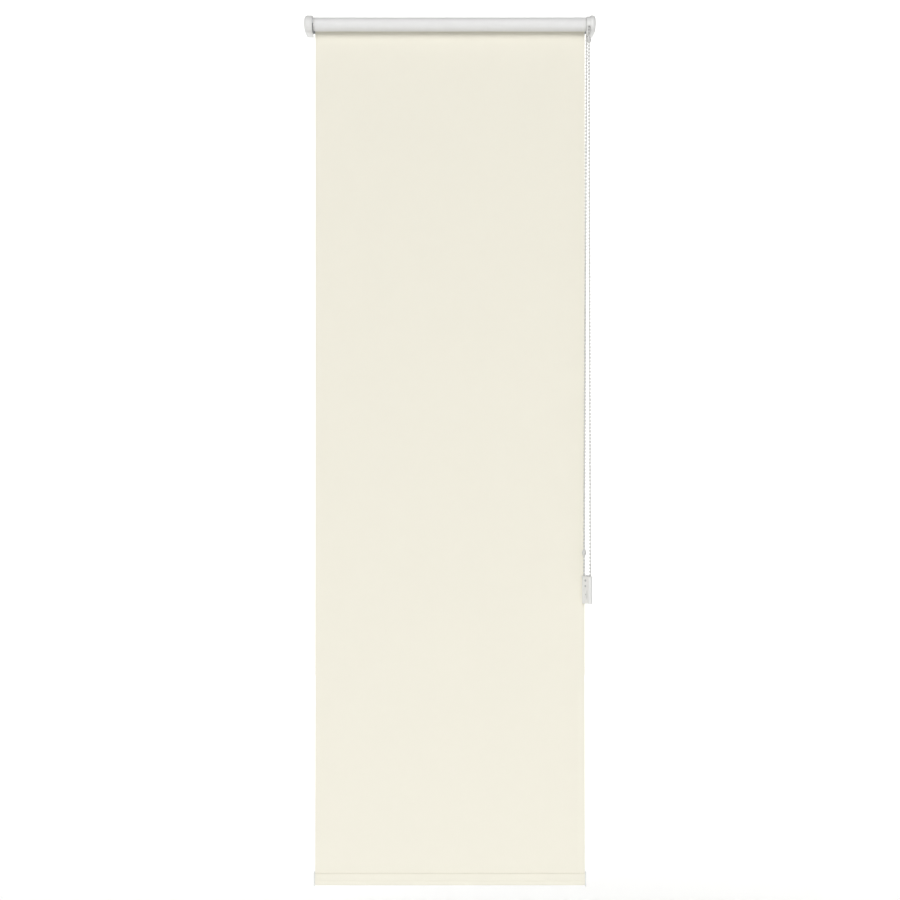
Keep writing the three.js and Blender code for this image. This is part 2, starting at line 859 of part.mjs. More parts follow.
function chainParts() {
  return [
    node('chain_over_sprocket', wire(new ChainTop(), beadRadius, 36), chainPlastic),
    node('chain_front_run', chainRun(-1), chainPlastic),
    node('chain_rear_run', chainRun(1), chainPlastic),
    chainStopNode('chain_stop_front', -1),
    chainStopNode('chain_stop_rear', 1),
  ];
}

function tensionerParts() {
  const screws = screwHeights.map((z, i) => {
    const screw = node(`tensioner_screw_${i + 1}`, tensionerScrew(), steel);
    screw.position.z = z;
    return screw;
  });
  const group = groupAt(pulleyCentre(), [
    node('tensioner_body', tensionerBody(), whitePlastic),
    node('tensioner_cover', tensionerCover(), whitePlastic),
    node('tensioner_pulley', tensionerPulley(), greyPlastic),
    node('tensioner_axle', tensionerAxle(), steel),
    node('chain_under_pulley', wire(new ChainBottom(), beadRadius, 12), chainPlastic),
    ...screws,
  ]);
  group.rotation.z = tensionerTurn;
  return group;
}

function clothParts() {
  return [
    node('fabric_panel', fabricPanel(), fabric),
    node('hem_pocket', hemPocket(), fabric),
    node('hem_bar', hemBar(), aluminium),
    node('hem_cap_left', hemCap(-1), greyPlastic),
    node('hem_cap_right', hemCap(1), greyPlastic),
  ];
}

const blind = new THREE.Group();
blind.add(...brackets(), rollerParts(), ...chainParts(), tensionerParts(), ...clothParts());

export default blind;
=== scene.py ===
"""Roller blind with a side chain: the looks of its pieces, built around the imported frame.

Lengths are in metres. X runs along the roller, -Y points into the room, +Z is up.
The origin is on the wall, midway between the brackets, at the height of the roller's axis.
"""

import json
import math

import bmesh
import bpy
from mathutils import Matrix, Vector


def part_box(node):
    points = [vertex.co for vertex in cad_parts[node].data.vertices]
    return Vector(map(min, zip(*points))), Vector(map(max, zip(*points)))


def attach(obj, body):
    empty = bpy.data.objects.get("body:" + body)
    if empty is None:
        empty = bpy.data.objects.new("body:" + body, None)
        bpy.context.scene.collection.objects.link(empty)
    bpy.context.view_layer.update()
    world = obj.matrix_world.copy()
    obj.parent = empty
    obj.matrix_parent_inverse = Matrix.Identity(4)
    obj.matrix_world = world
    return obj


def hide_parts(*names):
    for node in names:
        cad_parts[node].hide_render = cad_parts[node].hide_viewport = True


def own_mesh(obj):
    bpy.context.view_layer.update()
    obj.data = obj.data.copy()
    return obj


bl_info = {
    "name": "Roller blind",
    "version": (1, 0, 0),
    "blender": (4, 5, 0),
    "location": "3D View > Sidebar > Roller blind",
    "description": "Builds a chain-operated roller blind around its packed frame",
    "category": "Add Mesh",
}

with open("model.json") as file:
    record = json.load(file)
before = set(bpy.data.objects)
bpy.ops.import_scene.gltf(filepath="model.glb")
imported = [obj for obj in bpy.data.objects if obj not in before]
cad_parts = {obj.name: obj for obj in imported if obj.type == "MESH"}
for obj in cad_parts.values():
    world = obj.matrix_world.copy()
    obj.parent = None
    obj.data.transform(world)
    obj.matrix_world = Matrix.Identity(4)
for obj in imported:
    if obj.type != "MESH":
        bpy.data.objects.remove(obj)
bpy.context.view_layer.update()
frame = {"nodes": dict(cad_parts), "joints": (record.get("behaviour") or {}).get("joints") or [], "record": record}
JOINTS = {joint["name"]: joint for joint in frame["joints"]}
MM = 0.001

# Surface grain
RADIANS_PER_WAVE_SCALE = 20
THREAD_RELIEF = 0.12 * MM
TWIST_PITCH = 0.6 * MM
SLUB_LENGTH = 20 * MM
FLOW_LENGTH = 12 * MM
STIPPLE_GRAIN = 4 * MM

# Angle in degrees above which an edge between two faces stays sharp
SHARP_ANGLE = 40

# The hem's seam: how far the cloth is tucked into it, and its half thickness in layers of cloth
SEAM_TUCK = 0.8 * MM
SEAM_LAYERS = 1.05

# Stage and lights
KEY_LIGHT = 1.65
KEY_SPREAD = math.radians(32)
BACKDROP_LIGHT = 50
FRONT_WALL_LIGHT = 12
AMBIENT_LIGHT = 0.15
FLOOR_LIGHT = 175
FLOOR_Z = -2.2
FLOOR_RADIUS = 6.0
FLOOR_BEND = 2.0
WALL_TOP = 3.2
WALL_RADIUS = FLOOR_RADIUS + FLOOR_BEND

AXIS = Vector(JOINTS["roller_spin"]["pos_m"])
PULLEY = Vector(JOINTS["pulley_spin"]["pos_m"])
PULLEY_AXLE = Vector(JOINTS["pulley_spin"]["axis"]).normalized()
TUBE_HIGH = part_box("roller_tube")[1]
ROLL_LOW, ROLL_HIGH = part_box("fabric_roll")
PANEL_LOW, PANEL_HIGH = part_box("fabric_panel")
POCKET_LOW, POCKET_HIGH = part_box("hem_pocket")
CLOTH_Y = (PANEL_LOW.y + PANEL_HIGH.y) / 2
ROLL_RADIUS = ROLL_HIGH.z
TUBE_RADIUS = TUBE_HIGH.z

# The chain's route, as it is laid out in the part
BEAD_PITCH = 6 * MM
SPROCKET_POCKETS = 10
SPROCKET_RADIUS = SPROCKET_POCKETS * BEAD_PITCH / (2 * math.pi)
PULLEY_RADIUS = 9 * MM
CHAIN_X = JOINTS["sprocket_spin"]["pos_m"][0]
GUIDE_DROP = 24 * MM
GUIDE_START = 7 * MM
REAR_OUTLET = Vector((CHAIN_X - 3 * MM, AXIS.y + 6.8 * MM, -GUIDE_DROP))
FRONT_OUTLET = Vector((CHAIN_X - 0.2 * MM, AXIS.y - 9.2 * MM, -GUIDE_DROP))


def linear(hex_colour):
    """Turns an sRGB hex colour into linear red, green, blue and an alpha of 1."""
    channels = [int(hex_colour[i:i + 2], 16) / 255 for i in (0, 2, 4)]
    low_end, scale, offset, power = 0.04045, 12.92, 0.055, 2.4
    return tuple(
        c / scale if c <= low_end else ((c + offset) / (1 + offset)) ** power for c in channels
    ) + (1.0,)


def colour_property(name, hex_colour, description):
    """A colour that a user can change, given as an sRGB hex value."""
    return bpy.props.FloatVectorProperty(
        name=name, description=description, default=linear(hex_colour),
        size=4, min=0, max=1, subtype="COLOR",
    )


def length_property(name, default, description):
    """A length that a user can change."""
    return bpy.props.FloatProperty(
        name=name, description=description, default=default, min=0, unit="LENGTH", precision=5,
    )


class BlindSizes(bpy.types.PropertyGroup):
    """Sizes of the blind's visible detail that a user would change."""

    bead_diameter: length_property("Bead", 4.5 * MM, "Diameter of a chain bead")
    bead_pitch: length_property("Bead pitch", BEAD_PITCH, "Distance from bead to bead")
    link_diameter: length_property("Link", 1.8 * MM, "Diameter of the neck between two beads")
    cloth_thickness: length_property("Cloth", 0.45 * MM, "Thickness of one layer of cloth")
    thread_pitch: length_property("Thread pitch", 1.6 * MM, "Drawn distance between threads")
    stitch_length: length_property("Stitch", 3.4 * MM, "Length of one stitch in the hem")
    stitch_gap: length_property("Stitch gap", 1.2 * MM, "Gap between two stitches")
    cover_wall: length_property("Cover wall", 1.4 * MM, "Wall thickness of a bracket cover")
    edge_radius: length_property("Edge", 0.3 * MM, "Radius on the edges of moulded pieces")
    cover_dome: length_property("Cover dome", 5.2 * MM, "How far a cover's outer face domes")


class BlindColours(bpy.types.PropertyGroup):
    """Colours of the blind and of the stage."""

    cloth: colour_property("Cloth", "EFECDF", "Room side of the cloth")
    # Painted shade: the darker colour drawn into the valleys between the threads
    cloth_shade: colour_property("Cloth shade", "EAE6D8", "Valleys between the threads")
    coating: colour_property("Coating", "E9E9E9", "Coated back of the cloth")
    white_plastic: colour_property("White plastic", "E8E8E7", "Covers, housing and tensioner")
    grey_plastic: colour_property("Grey plastic", "E4E4E2", "Plugs, hub, pulley and hem caps")
    beads: colour_property("Beads", "D2D2D0", "Chain beads and their stops")
    thread: colour_property("Thread", "FBF9EE", "Sewing thread in the hem")
    steel: colour_property("Steel", "BFC1C4", "Zinc-plated brackets, pins and screws")
    wire: colour_property("Spring wire", "8E9094", "Springs and the spring clip")
    aluminium: colour_property("Aluminium", "CDCFD1", "Roller tube and hem bar")
    stage: colour_property("Stage", "FAFAF9", "Floor and backdrop")


def sizes():
    """The blind's sizes as they are set in the sidebar."""
    return bpy.context.scene.blind_sizes


def colours():
    """The blind's colours as they are set in the sidebar."""
    return bpy.context.scene.blind_colours


# Materials


def add_node(tree, kind, inputs=None, **settings):
    """Adds a node, applies its settings, and sets or links its inputs."""
    node = tree.nodes.new(kind)
    for key, value in settings.items():
        setattr(node, key, value)
    for key, value in (inputs or {}).items():
        if isinstance(value, bpy.types.NodeSocket):
            tree.links.new(value, node.inputs[key])
        else:
            node.inputs[key].default_value = value
    return node


def new_material(name, colour, roughness, **sockets):
    """Makes a material and sets what is the same all over on its shader's own sockets."""
    material = bpy.data.materials.new(name)
    material.use_nodes = True
    tree = material.node_tree
    shader = tree.nodes["Principled BSDF"]
    shader.inputs["Base Color"].default_value = colour
    shader.inputs["Roughness"].default_value = roughness
    for key, value in sockets.items():
        shader.inputs[key.replace("_", " ")].default_value = value
    return material, tree, shader


def shaded(colour, share):
    """The same colour with that share of its light."""
    return tuple(channel * share for channel in colour[:3]) + (1.0,)


def weave(tree, place, pitch):
    """Height of a plain weave: warp and weft ridges that cross, with uneven yarn."""
    scale = 2 * math.pi / pitch / RADIANS_PER_WAVE_SCALE
    ridges = {"Vector": place, "Scale": scale}
    warp = add_node(tree, "ShaderNodeTexWave", ridges, bands_direction="X")
    weft = add_node(tree, "ShaderNodeTexWave", ridges, bands_direction="Z")
    yarn = add_node(tree, "ShaderNodeTexNoise", {"Vector": place, "Scale": 1 / pitch, "Detail": 3})
    crossing = add_node(
        tree, "ShaderNodeMath", {0: warp.outputs["Fac"], 1: weft.outputs["Fac"]}, operation="MULTIPLY",
    )
    uneven = add_node(tree, "ShaderNodeMath", {0: yarn.outputs["Fac"], 1: 0.4}, operation="MULTIPLY")
    height = add_node(
        tree, "ShaderNodeMath", {0: crossing.outputs[0], 1: 0.6, 2: uneven.outputs[0]},
        operation="MULTIPLY_ADD",
    )
    return height.outputs[0]


def woven_polyester():
    """Plain-woven polyester blind cloth: a dry, matt face with an even tooth and faint slubs.

    The real threads lie 0.3 mm apart, too fine to show, so they are drawn about five times as coarse.
    """
    material, tree, shader = new_material(
        "woven polyester cloth", colours().cloth, 0.85,
        Sheen_Weight=0.08, Sheen_Roughness=0.5, Specular_IOR_Level=0.25,
    )
    place = add_node(tree, "ShaderNodeTexCoord").outputs["Object"]
    height = weave(tree, place, sizes().thread_pitch)
    slub = add_node(
        tree, "ShaderNodeTexNoise", {"Vector": place, "Scale": 1 / SLUB_LENGTH, "Detail": 2},
    )
    faint = add_node(
        tree, "ShaderNodeMapRange", {"Value": slub.outputs["Fac"], "To Min": 0.2, "To Max": 0.4},
    )
    # Painted shade: the valleys of the drawn weave take the cloth shade colour; the slubs add a real, random
    # unevenness of tone
    valley_shade_and_slub = add_node(
        tree, "ShaderNodeMath", {0: height, 1: 0.7, 2: faint.outputs["Result"]},
        operation="MULTIPLY_ADD", use_clamp=True,
    )
    face = add_node(
        tree, "ShaderNodeMix", {0: valley_shade_and_slub.outputs[0], 6: colours().cloth_shade, 7: colours().cloth},
        data_type="RGBA",
    )
    relief = add_node(
        tree, "ShaderNodeBump", {"Height": height, "Distance": THREAD_RELIEF, "Strength": 0.7},
    )
    tree.links.new(face.outputs[2], shader.inputs["Base Color"])
    tree.links.new(relief.outputs["Normal"], shader.inputs["Normal"])
    return material


def acrylic_coating():
    """White acrylic coating spread on the cloth's back: closed and softly glossy.

    The weave shows through it only as a faint ripple, drawn as coarse as on the face.
    """
    material, tree, shader = new_material(
        "acrylic coated cloth back", colours().coating, 0.5, Specular_IOR_Level=0.4,
    )
    place = add_node(tree, "ShaderNodeTexCoord").outputs["Object"]
    height = weave(tree, place, sizes().thread_pitch)
    cloud = add_node(
        tree, "ShaderNodeTexNoise", {"Vector": place, "Scale": 1 / SLUB_LENGTH, "Detail": 3},
    )
    sheen = add_node(
        tree, "ShaderNodeMapRange", {"Value": cloud.outputs["Fac"], "To Min": 0.42, "To Max": 0.6},
    )
    face = add_node(
        tree, "ShaderNodeMix",
        {0: cloud.outputs["Fac"], 6: shaded(colours().coating, 0.95), 7: colours().coating},
        data_type="RGBA",
    )
    relief = add_node(
        tree, "ShaderNodeBump", {"Height": height, "Distance": THREAD_RELIEF / 2, "Strength": 0.4},
    )
    tree.links.new(sheen.outputs["Result"], shader.inputs["Roughness"])
    tree.links.new(face.outputs[2], shader.inputs["Base Color"])
    tree.links.new(relief.outputs["Normal"], shader.inputs["Normal"])
    return material


def moulded(name, colour, roughness, grit, relief_depth):
    """Injection-moulded plastic: a fine spark-eroded grit and faint flow clouds in its sheen."""
    material, tree, shader = new_material(name, colour, roughness, IOR=1.53)
    place = add_node(tree, "ShaderNodeTexCoord").outputs["Object"]
    sparks = add_node(tree, "ShaderNodeTexNoise", {"Vector": place, "Scale": 1 / grit, "Detail": 3})
    flow = add_node(
        tree, "ShaderNodeTexNoise", {"Vector": place, "Scale": 1 / FLOW_LENGTH, "Detail": 2},
    )
    sheen = add_node(
        tree, "ShaderNodeMapRange",
        {"Value": flow.outputs["Fac"], "To Min": roughness - 0.06, "To Max": roughness + 0.08},
    )
    face = add_node(
        tree, "ShaderNodeMix", {0: flow.outputs["Fac"], 6: shaded(colour, 0.95), 7: colour},
        data_type="RGBA",
    )
    relief = add_node(
        tree, "ShaderNodeBump",
        {"Height": sparks.outputs["Fac"], "Distance": relief_depth, "Strength": 0.4},
    )
    tree.links.new(sheen.outputs["Result"], shader.inputs["Roughness"])
    tree.links.new(face.outputs[2], shader.inputs["Base Color"])
    tree.links.new(relief.outputs["Normal"], shader.inputs["Normal"])
    return material


def moulded_abs():
    """White ABS, moulded satin: even, with a soft broad highlight. Grit of 0.6 mm, drawn coarse."""
    return moulded("moulded ABS", tuple(colours().white_plastic), 0.42, 0.6 * MM, 0.03 * MM)


def moulded_nylon():
    """Pale grey glass-filled nylon: duller and coarser than the covers. Grit of 0.8 mm."""
    return moulded("moulded nylon", tuple(colours().grey_plastic), 0.52, 0.8 * MM, 0.05 * MM)


def moulded_acetal():
    """Off-white acetal, moulded onto the chain's cord: smooth, with a small bright highlight."""
    return moulded("moulded acetal", tuple(colours().beads), 0.42, 1.2 * MM, 0.01 * MM)


def worked_metal(name, colour, roughness, stretch, grain, relief_depth):
    """Metal whose grain is stretched along the way it was worked."""
    material, tree, shader = new_material(name, colour, roughness, Metallic=1.0)
    place = add_node(tree, "ShaderNodeTexCoord").outputs["Object"]
    drawn = add_node(tree, "ShaderNodeMapping", {"Vector": place, "Scale": stretch})
    lines = add_node(
        tree, "ShaderNodeTexNoise",
        {"Vector": drawn.outputs["Vector"], "Scale": 1 / grain, "Detail": 4},
    )
    sheen = add_node(
        tree, "ShaderNodeMapRange",
        {"Value": lines.outputs["Fac"], "To Min": roughness - 0.1, "To Max": roughness + 0.14},
    )
    face = add_node(
        tree, "ShaderNodeMix", {0: lines.outputs["Fac"], 6: shaded(colour, 0.84), 7: colour},
        data_type="RGBA",
    )
    relief = add_node(
        tree, "ShaderNodeBump",
        {"Height": lines.outputs["Fac"], "Distance": relief_depth, "Strength": 0.3},
    )
    tree.links.new(sheen.outputs["Result"], shader.inputs["Roughness"])
    tree.links.new(face.outputs[2], shader.inputs["Base Color"])
    tree.links.new(relief.outputs["Normal"], shader.inputs["Normal"])
    return material


def zinc_plate():
    """Stamped steel, zinc plated and passivated: a cloudy, even grain without direction."""
    return worked_metal(
        "zinc plated steel", tuple(colours().steel), 0.36, (1, 1, 1), 1.5 * MM, 0.01 * MM,
    )


def drawn_wire():
    """Drawn spring steel wire: dark, with die lines along its length."""
    return worked_metal(
        "drawn spring wire", tuple(colours().wire), 0.34, (1, 0.3, 0.3), 0.6 * MM, 0.01 * MM,
    )


def extruded_aluminium():
    """Mill-finish extruded aluminium: long faint die lines along the extrusion."""
    return worked_metal(
        "extruded aluminium", tuple(colours().aluminium), 0.4, (0.02, 1, 1), 0.8 * MM, 0.02 * MM,
    )


def twisted_polyester():
    """Twisted polyester sewing thread: slightly glossier than the cloth, with a fine twist."""
    material, tree, shader = new_material("twisted polyester thread", colours().thread, 0.6)
    place = add_node(tree, "ShaderNodeTexCoord").outputs["Object"]
    scale = 2 * math.pi / TWIST_PITCH / RADIANS_PER_WAVE_SCALE
    twist = add_node(
        tree, "ShaderNodeTexWave", {"Vector": place, "Scale": scale}, bands_direction="DIAGONAL",
    )
    relief = add_node(
        tree, "ShaderNodeBump",
        {"Height": twist.outputs["Fac"], "Distance": 0.05 * MM, "Strength": 0.6},
    )
    tree.links.new(relief.outputs["Normal"], shader.inputs["Normal"])
    return material


def matt_paint():
    """Matt emulsion on the studio floor and its curved wall: no shine, a trace of roller stipple."""
    material, tree, shader = new_material("matt studio paint", colours().stage, 0.95)
    place = add_node(tree, "ShaderNodeTexCoord").outputs["Object"]
    stipple = add_node(tree, "ShaderNodeTexNoise", {"Vector": place, "Scale": 1 / STIPPLE_GRAIN})
    relief = add_node(
        tree, "ShaderNodeBump",
        {"Height": stipple.outputs["Fac"], "Distance": 0.1 * MM, "Strength": 0.1},
    )
    tree.links.new(relief.outputs["Normal"], shader.inputs["Normal"])
    return material


FINISHES = {
    "steel": zinc_plate,
    "spring_steel": drawn_wire,
    "aluminium": extruded_aluminium,
    "white_plastic": moulded_abs,
    "grey_plastic": moulded_nylon,
    "chain_plastic": moulded_acetal,
    "cloth_front": woven_polyester,
    "cloth_back": acrylic_coating,
    "thread": twisted_polyester,
    "stage": matt_paint,
}
MADE = {}


def finish(slot):
    """The material of a slot, made once."""
    if slot not in MADE:
        MADE[slot] = FINISHES[slot]()
    return MADE[slot]


# Mesh tools


def shade(mesh, smooth_angle=SHARP_ANGLE):
    """Smooth shading, with edges kept sharp where faces meet at more than the angle."""
    mesh.shade_smooth()
    mesh.set_sharp_from_angle(angle=math.radians(smooth_angle))


def piece_from(bm, name, material, body=None, smooth_angle=SHARP_ANGLE):
    """Turns a bmesh into a shaded object that rides on a body."""
    bmesh.ops.recalc_face_normals(bm, faces=bm.faces)
    mesh = bpy.data.meshes.new(name)
    bm.to_mesh(mesh)
    bm.free()
    shade(mesh, smooth_angle)
    mesh.materials.append(material)
    piece = bpy.data.objects.new(name, mesh)
    bpy.context.scene.collection.objects.link(piece)
    if body:
        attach(piece, body)
    return piece


def loft(bm, rings, closed_rings=True, closed_ends=False, caps=False):
    """Skins rings of points, each with the same count, and returns the rings of vertices.

    closed_rings joins each ring's last point to its first, closed_ends joins the last ring to the
    first, and caps fills both end rings.
    """
    made = [[bm.verts.new(point) for point in ring] for ring in rings]
    count = len(made[0])
    last = len(made) if closed_ends else len(made) - 1
    for i in range(last):
        near, far = made[i], made[(i + 1) % len(made)]
        for k in range(count if closed_rings else count - 1):
            m = (k + 1) % count
            bm.faces.new((near[k], near[m], far[m], far[k]))
    if caps:
        bm.faces.new(made[0])
        bm.faces.new(made[-1])
    return made


def angles_round(segments):
    """Angles once round, evenly spaced."""
    return [2 * math.pi * k / segments for k in range(segments)]


def turn_about_x(profile, segments):
    """Rings of points for a profile of (x, radius) pairs turned about the X axis."""
    return [
        [Vector((x, radius * math.cos(a), radius * math.sin(a))) for a in angles_round(segments)]
        for x, radius in profile
    ]


def stand_in(node, material, body):
    """Copies a piece and lets the copy stand in for it."""
    source = frame["nodes"][node]
    piece = source.copy()
    piece.data = source.data.copy()
    for key in list(piece.keys()):
        del piece[key]
    piece.name = node + "_finished"
    piece.parent = None
    bpy.context.scene.collection.objects.link(piece)
    piece.data.materials.clear()
    piece.data.materials.append(material)
    shade(piece.data)
    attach(piece, body)
    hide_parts(node)
    return piece


def refine(node, material, body):
    """Stands a copy in for a moulded or stamped piece, and softens its edges."""
    piece = stand_in(node, material, body)
    weld, flat = 0.01 * MM, math.radians(1)
    bm = bmesh.new()
    bm.from_mesh(piece.data)
    bmesh.ops.remove_doubles(bm, verts=bm.verts, dist=weld)
    bmesh.ops.dissolve_limit(bm, angle_limit=flat, verts=bm.verts, edges=bm.edges)
    bmesh.ops.recalc_face_normals(bm, faces=bm.faces)
    bm.to_mesh(piece.data)
    bm.free()
    shade(piece.data)
    bevel = piece.modifiers.new("soft edges", "BEVEL")
    bevel.width = sizes().edge_radius
    bevel.segments = 2
    bevel.limit_method = "ANGLE"
    bevel.angle_limit = math.radians(SHARP_ANGLE)
    bevel.harden_normals = False
    return piece


def make_idle_spring():
    """The coil behind the idle pin, copied onto a mesh of its own; nothing here shortens it as the pin is pressed.
    """
    spring = stand_in("idle_spring", finish("spring_steel"), "idle_pin")
    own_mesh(spring)


# Chain


def guided(t, side):
    """A point on the run from the sprocket's tangent, t = 0, to its outlet, t = 1."""
    outlet = REAR_OUTLET if side > 0 else FRONT_OUTLET
    tangent = Vector((CHAIN_X, AXIS.y + side * SPROCKET_RADIUS, 0))
    eased = max(0.0, (GUIDE_DROP * t - GUIDE_START) / (GUIDE_DROP - GUIDE_START))
    ease = eased * eased * (3 - 2 * eased)
    point = tangent.lerp(outlet, ease)
    point.z = -GUIDE_DROP * t
    return point


def chain_route():
    """The closed loop: front run down, round the pulley, rear run up, over the sprocket."""
    guide_steps, run_steps, arc_steps = 8, 60, 24
    across = PULLEY_AXLE.cross(Vector((0, 0, 1))).normalized()
    front_bottom = PULLEY + across * PULLEY_RADIUS
    rear_bottom = PULLEY - across * PULLEY_RADIUS
    route = [guided(k / guide_steps, -1) for k in range(guide_steps)]
    route += [FRONT_OUTLET.lerp(front_bottom, k / run_steps) for k in range(run_steps)]
    for k in range(arc_steps):
        angle = math.pi * k / arc_steps
        reach = across * math.cos(angle) - Vector((0, 0, 1)) * math.sin(angle)
        route.append(PULLEY + reach * PULLEY_RADIUS)
    route += [rear_bottom.lerp(REAR_OUTLET, k / run_steps) for k in range(run_steps)]
    route += [guided(1 - k / guide_steps, 1) for k in range(guide_steps)]
    for k in range(arc_steps + 1):
        angle = math.pi * k / arc_steps
        reach = Vector((0, math.cos(angle), math.sin(angle)))
        route.append(Vector((CHAIN_X, AXIS.y, 0)) + reach * SPROCKET_RADIUS)
    return route


def walk(route):
    """A route's length, and a function that gives the point at a distance along it."""
    reach = [0.0]
    for before, after in zip(route, route[1:]):
        reach.append(reach[-1] + (after - before).length)

    def point_at(distance):
        distance = min(max(distance, 0.0), reach[-1])
        low, high = 0, len(reach) - 1
        while high - low > 1:
            middle = (low + high) // 2
            if reach[middle] <= distance:
                low = middle
            else:
                high = middle
        span = reach[high] - reach[low]
        share = (distance - reach[low]) / span if span else 0.0
        return route[low].lerp(route[high], share)

    return reach[-1], point_at


def bead_profile(pitch):
    """(distance, radius) pairs from the middle of one neck to the middle of the next."""
    bead, neck = sizes().bead_diameter / 2, sizes().link_diameter / 2
    steps = 8
    limit = math.acos(neck / bead)
    sphere = []
    for k in range(steps + 1):
        angle = -limit + 2 * limit * k / steps
        sphere.append((pitch / 2 + bead * math.sin(angle), bead * math.cos(angle)))
    return [(0.0, neck), *sphere]


def chain_mesh(bm, route):
    """Sweeps beads and necks along the closed route as one skin, and returns its length."""
    length, point_at = walk(route)
    count = round(length / sizes().bead_pitch)
    pitch = length / count
    sides, nudge = 12, 0.4 * MM
    rings = []
    upright = Vector((1, 0, 0))
    for bead in range(count):
        for offset, radius in bead_profile(pitch):
            distance = bead * pitch + offset
            here = point_at(distance)
            along = (point_at(distance + nudge) - point_at(distance - nudge)).normalized()
            upright = (upright - along * upright.dot(along)).normalized()
            sideways = along.cross(upright)
            rings.append([
                here + upright * radius * math.cos(a) + sideways * radius * math.sin(a)
                for a in angles_round(sides)
            ])
    loft(bm, rings, caps=True)
    return length


def make_chain():
    """The endless ball chain, with its two stops on it."""
    route = chain_route()
    bm = bmesh.new()
    length = chain_mesh(bm, route)
    chain = piece_from(bm, "ball_chain", finish("chain_plastic"), "wall_side", smooth_angle=60)
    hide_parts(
        "chain_over_sprocket", "chain_front_run", "chain_rear_run", "chain_under_pulley",
    )
    stops = [make_stop(place) for place in ("front", "rear")]


def make_stop(place):
    """A two-part ball stop snapped over one bead, with a seam where its halves meet."""
    node, body = f"chain_stop_{place}", f"{place}_stop"
    low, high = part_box(node)
    centre = (low + high) / 2
    half, radius = (high.z - low.z) / 2, (high.x - low.x) / 2
    bore, seam = sizes().bead_diameter / 2 + 0.4 * MM, 0.3 * MM
    steps, segments = 8, 48
    outside = []
    for k in range(steps + 1):
        angle = math.pi / 2 * k / steps
        reach = half - (half - seam) * math.sin(angle)
        outside.append((reach, bore + (radius - bore) * math.sin(angle)))
    groove = [(seam, radius - seam), (-seam, radius - seam)]
    mirrored = [(-reach, r) for reach, r in reversed(outside)]
    profile = [(half, bore), *outside[1:], *groove, *mirrored[:-1], (-half, bore)]
    bm = bmesh.new()
    loft(bm, turn_about_x(profile, segments), closed_ends=True)
    along = Vector(JOINTS[f"{place}_stop_slide"]["axis"])
    spin = Vector((1, 0, 0)).rotation_difference(along).to_matrix().to_4x4()
    bmesh.ops.transform(bm, matrix=Matrix.Translation(centre) @ spin, verts=bm.verts)
    stop = piece_from(bm, node + "_ball", finish("chain_plastic"), body)
    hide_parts(node)
    return stop


# Cloth


def coat_rear(piece):
    """Puts the coating on the faces that look at the wall."""
    looks_back = 0.5
    piece.data.materials.append(finish("cloth_back"))
    for face in piece.data.polygons:
        if face.normal.y > looks_back:
            face.material_index = 1


def make_panel():
    """The hanging cloth: one flat sheet with cut edges, from the roll to the hem."""
    half = sizes().cloth_thickness / 2
    columns, rows = 48, 160
    top, bottom = 0.0, POCKET_HIGH.z - SEAM_TUCK
    ripple, broad, narrow, narrow_share, phase, drift = 0.25 * MM, 23, 41, 0.6, 0.7, 3

    def lean(x, z):
        """A trace of waviness, fading to nothing at the roll and at the weighted hem."""
        height = (z - bottom) / (top - bottom)
        hold = math.sin(math.pi * min(max(height, 0.0), 1.0))
        wave = math.sin(x * broad + phase) + narrow_share * math.sin(x * narrow + z * drift)
        return ripple * hold * wave

    width = PANEL_HIGH.x - PANEL_LOW.x
    xs = [PANEL_LOW.x + width * k / columns for k in range(columns + 1)]
    rings = []
    for row in range(rows + 1):
        z = top + (bottom - top) * row / rows
        front = [Vector((x, CLOTH_Y - half + lean(x, z), z)) for x in xs]
        back = [Vector((x, CLOTH_Y + half + lean(x, z), z)) for x in reversed(xs)]
        rings.append(front + back)
    bm = bmesh.new()
    loft(bm, rings, caps=True)
    panel = piece_from(bm, "hanging_cloth", finish("cloth_front"), "wall_side")
    coat_rear(panel)
    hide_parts("fabric_panel")
    return panel


def make_roll():
    """The turns that stay on the tube: a spiral of cloth, its coated back outwards."""
    thickness = sizes().cloth_thickness
    inner = TUBE_RADIUS
    turns, per_turn, bands, slack = 1.9, 96, 16, 0.02 * MM
    steps = int(turns * per_turn)
    rise = (ROLL_RADIUS - thickness - inner) / turns
    outer_line, inner_line = [], []
    for k in range(steps + 1):
        share = k / steps
        angle = -2 * math.pi * turns * (1 - share)
        radius = inner + rise * turns * share
        way = Vector((0, math.cos(angle), math.sin(angle)))
        inner_line.append(AXIS + way * (radius + slack))
        outer_line.append(AXIS + way * (radius + thickness))
    outline = outer_line + list(reversed(inner_line))
    count = len(outline)
    rings = []
    for k in range(bands + 1):
        x = ROLL_LOW.x + (ROLL_HIGH.x - ROLL_LOW.x) * k / bands
        rings.append([Vector((x, point.y, point.z)) for point in outline])
    bm = bmesh.new()
    made = loft(bm, rings)
    for end in (made[0], made[-1]):
        for k in range(steps):
            bm.faces.new((end[k], end[k + 1], end[count - 2 - k], end[count - 1 - k]))
    roll = piece_from(bm, "wound_cloth", finish("cloth_back"), "roller")
    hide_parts("fabric_roll")
    return roll


